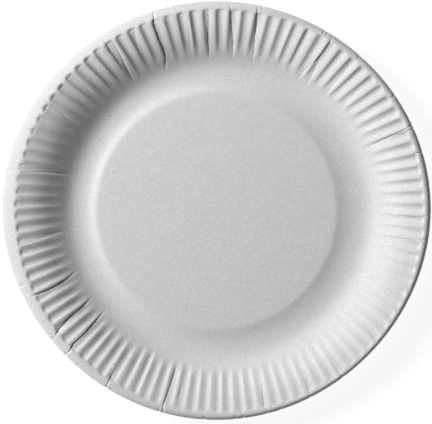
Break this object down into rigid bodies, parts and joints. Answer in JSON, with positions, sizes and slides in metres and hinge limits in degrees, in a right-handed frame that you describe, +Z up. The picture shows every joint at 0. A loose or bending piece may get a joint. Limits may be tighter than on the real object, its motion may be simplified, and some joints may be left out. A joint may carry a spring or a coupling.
{
  "type": "paper plate",
  "caption": "Round pressed paper plate with a raised flat centre, a foot ring, a radially fluted wall and a smooth rolled lip.",
  "frame": {"origin": "on the surface the plate stands on, under the centre of the plate", "axes": "+Z up out of the hollow, along the plate's axis; +X and +Y lie in the plane of the table"},
  "size_m": [0.23, 0.23, 0.016],
  "materials": {
    "board": "matte"
  },
  "bodies": {
    "root": {"plate": "board"}
  },
  "joints": []
}
